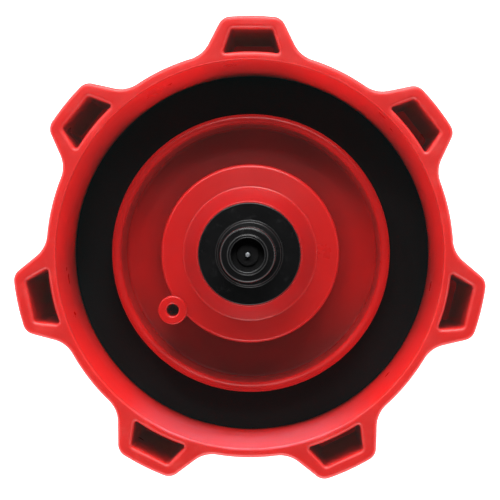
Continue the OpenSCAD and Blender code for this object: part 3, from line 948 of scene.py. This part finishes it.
def blackPlastic():
    r = Recipe(
        "blackPlastic", IOR=1.5, Specular_IOR_Level=0.4,
        # the faint emission is a painted glow that lifts the plastic's shade
        Emission_Color=(0.9, 1, 1, 1), Emission_Strength=0.001
    )
    fine = r.noise(1100, 2)
    marks = r.ramp(r.noise(300, 6, 0.75), 0.56, 0.7)
    r.feed("Base Color", r.mix(marks, colour(11, 11, 12), colour(24, 24, 25)))
    r.feed("Roughness", 0.24 + 0.08 * r.ramp(r.noise(90, 3), 0.3, 0.7) + 0.1 * marks)
    r.bump(fine, 0.12, 0.0002)
    return r.material


def sealRubber():
    r = Recipe("sealRubber", IOR=1.5)
    grain = r.noise(2600, 3)
    r.feed("Base Color", r.mix(grain, colour(20, 20, 21), colour(38, 37, 38)))
    r.feed("Roughness", 0.55 + 0.15 * grain)
    r.bump(grain, 0.2, 0.0002)
    return r.material


def naturalPlastic():
    r = Recipe("naturalPlastic", IOR=1.48, Subsurface_Weight=0.15, Subsurface_Scale=0.002)
    cloud = r.noise(140, 3)
    r.feed("Base Color", r.mix(cloud, colour(214, 210, 196), colour(228, 225, 214)))
    r.feed("Roughness", 0.36 + 0.12 * cloud)
    r.bump(r.noise(1500, 2), 0.1, 0.0002)
    return r.material


def steel():
    r = Recipe("steel", Metallic=1.0)
    drawn = r.noise(700, 4, 0.6)
    stain = r.ramp(r.noise(220, 4), 0.5, 0.75)
    r.feed("Base Color", r.mix(stain, colour(202, 206, 210), colour(170, 172, 172)))
    r.feed("Roughness", 0.46 + 0.12 * drawn + 0.08 * stain)
    r.bump(drawn, 0.1, 0.0001)
    return r.material


materials = {
    "red_plastic": redPlastic(), "gasket_rubber": gasketRubber(), "black_plastic": blackPlastic(),
    "seal_rubber": sealRubber(), "natural_plastic": naturalPlastic(), "steel": steel(),
}


def finish(piece, body, slot, *nodes):
    # one material, one body and the CAD nodes that the piece stands for
    piece.data.materials.clear()
    piece.data.materials.append(materials[slot])
    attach(piece, body)
    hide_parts(*nodes)


finish(capBody, "cap", "red_plastic", "cap_body")
finish(gasketRing, "cap", "gasket_rubber", "gasket")
finish(valveHousing, "cap", "black_plastic", "valve_housing")
finish(housingSealRing, "cap", "seal_rubber", "housing_seal")
finish(retainingNut, "cap", "black_plastic", "retaining_nut")
finish(ventCover, "cap", "black_plastic", "vent_cover")
finish(springRetainer, "cap", "natural_plastic", "spring_retainer")
finish(dustScreen, "cap", "steel", "dust_screen")
finish(pressureSpring, "cap", "steel", "pressure_spring")
finish(pressurePlate, "pressure_valve", "natural_plastic", "pressure_plate")
finish(pressureSeal, "pressure_valve", "seal_rubber", "pressure_seal")
finish(vacuumSpring, "pressure_valve", "steel", "vacuum_spring")
finish(vacuumDisc, "vacuum_valve", "seal_rubber", "vacuum_disc")
finish(vacuumPin, "vacuum_valve", "steel", "vacuum_pin")
finish(pinClip, "vacuum_valve", "steel", "pin_clip")
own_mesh(pressureSpring)
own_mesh(vacuumSpring)

# the CAD's own nodes get the same materials, should one of them be shown
nodeSlots = {row["node"]: row["material_slot"] for row in frame["record"]["subparts"]}
for name, node in frame["nodes"].items():
    slot = nodeSlots.get(name, "black_plastic")
    node.data.materials.clear()
    node.data.materials.append(materials[slot])


# Floor, lights and camera

floorGap = 0.1     # below the cap, so that the two faces never share a plane


def makeFloor():
    clearSelection()
    bpy.ops.mesh.primitive_plane_add(size=6, location=(0, 0, 0))
    floor = bpy.context.object
    floor.name = "floor"
    moveMesh(floor, (0, 0, -floorGap * mm))
    r = Recipe("paleFloor", Roughness=0.9, Emission_Color=(1, 1, 1, 1), Emission_Strength=1.0)
    r.feed("Base Color", r.mix(r.noise(6, 2), (0.93, 0.93, 0.93, 1), (0.96, 0.96, 0.96, 1)))
    r.clearFromBehind()
    floor.data.materials.append(r.material)


lampDistance = 0.9
lampAim = Vector((0, 0, 0.04))
softboxes = {
    # azimuth and elevation in degrees seen from the cap, width and height in metres, power in watts
    "topSoftbox": ((87, 26), (0.62, 0.3), 7),
    "highSoftbox": ((87, 56), (0.5, 0.16), 1.6),
    "spot": ((121, 35), (0.07, 0.07), 0.9),
    "cornerFill": ((135, 30), (0.62, 0.3), 1),
    "lowFill": ((-90, 24), (0.62, 0.3), 3.5),
}


def addSoftbox(name, direction, size, power):
    azimuth, elevation = (math.radians(a) for a in direction)
    flat = math.cos(elevation)
    away = Vector((math.cos(azimuth) * flat, math.sin(azimuth) * flat, math.sin(elevation)))
    light = bpy.data.lights.new(name, "AREA")
    light.shape = "RECTANGLE"
    light.size, light.size_y = size
    light.energy = power
    lamp = bpy.data.objects.new(name, light)
    bpy.context.scene.collection.objects.link(lamp)
    lamp.location = lampAim + away * lampDistance
    lamp.rotation_euler = away.to_track_quat("Z", "Y").to_euler()


cameraShape = {"fieldOfView": 23.98, "eye": (9.7, 5.7, 435), "target": (0.34, 1.37, 41), "roll": 0.68}


def makeCamera():
    # looks down into the cap, a little from its right and its top
    data = bpy.data.cameras.new("camera")
    data.lens_unit = "FOV"
    data.angle = math.radians(cameraShape["fieldOfView"])
    camera = bpy.data.objects.new("camera", data)
    bpy.context.scene.collection.objects.link(camera)
    eye = Vector(cameraShape["eye"]) * mm
    target = Vector(cameraShape["target"]) * mm
    camera.location = eye
    away = (eye - target).normalized()
    right = Vector((0, 1, 0)).cross(away).normalized()
    level = Matrix((right, away.cross(right), away)).transposed()
    roll = Matrix.Rotation(math.radians(cameraShape["roll"]), 3, "Z")
    camera.rotation_euler = (level @ roll).to_euler()
    bpy.context.scene.camera = camera


skyShape = {
    # height of the direction looked in, from -1 to 1, at two ends, and the strength at each
    "overhead": (0.34, 0.56, 2.0, 0.02),
    "below": (-0.2, 0.1, 0.3, 1.0),
}


def makeWorld():
    # soft walls all around the table, dark overhead where the camera stands, dimmer below the table's edge
    world = bpy.data.worlds.new("studio")
    world.use_nodes = True
    tree = world.node_tree
    place = tree.nodes.new("ShaderNodeTexCoord")
    parts = tree.nodes.new("ShaderNodeSeparateXYZ")
    tree.links.new(place.outputs["Generated"], parts.inputs[0])
    both = tree.nodes.new("ShaderNodeMath")
    both.operation = "MULTIPLY"
    for i, values in enumerate(skyShape.values()):
        change = tree.nodes.new("ShaderNodeMapRange")
        change.interpolation_type = "SMOOTHSTEP"
        for socket, value in zip(("From Min", "From Max", "To Min", "To Max"), values):
            change.inputs[socket].default_value = value
        tree.links.new(parts.outputs["Z"], change.inputs["Value"])
        tree.links.new(change.outputs[0], both.inputs[i])
    backdrop = tree.nodes["Background"]
    backdrop.inputs["Color"].default_value = (1, 1, 1, 1)
    tree.links.new(both.outputs[0], backdrop.inputs["Strength"])
    bpy.context.scene.world = world


makeFloor()
for name, (direction, size, power) in softboxes.items():
    addSoftbox(name, direction, size, power)
makeCamera()
makeWorld()
bpy.context.scene.view_settings.view_transform = "Standard"
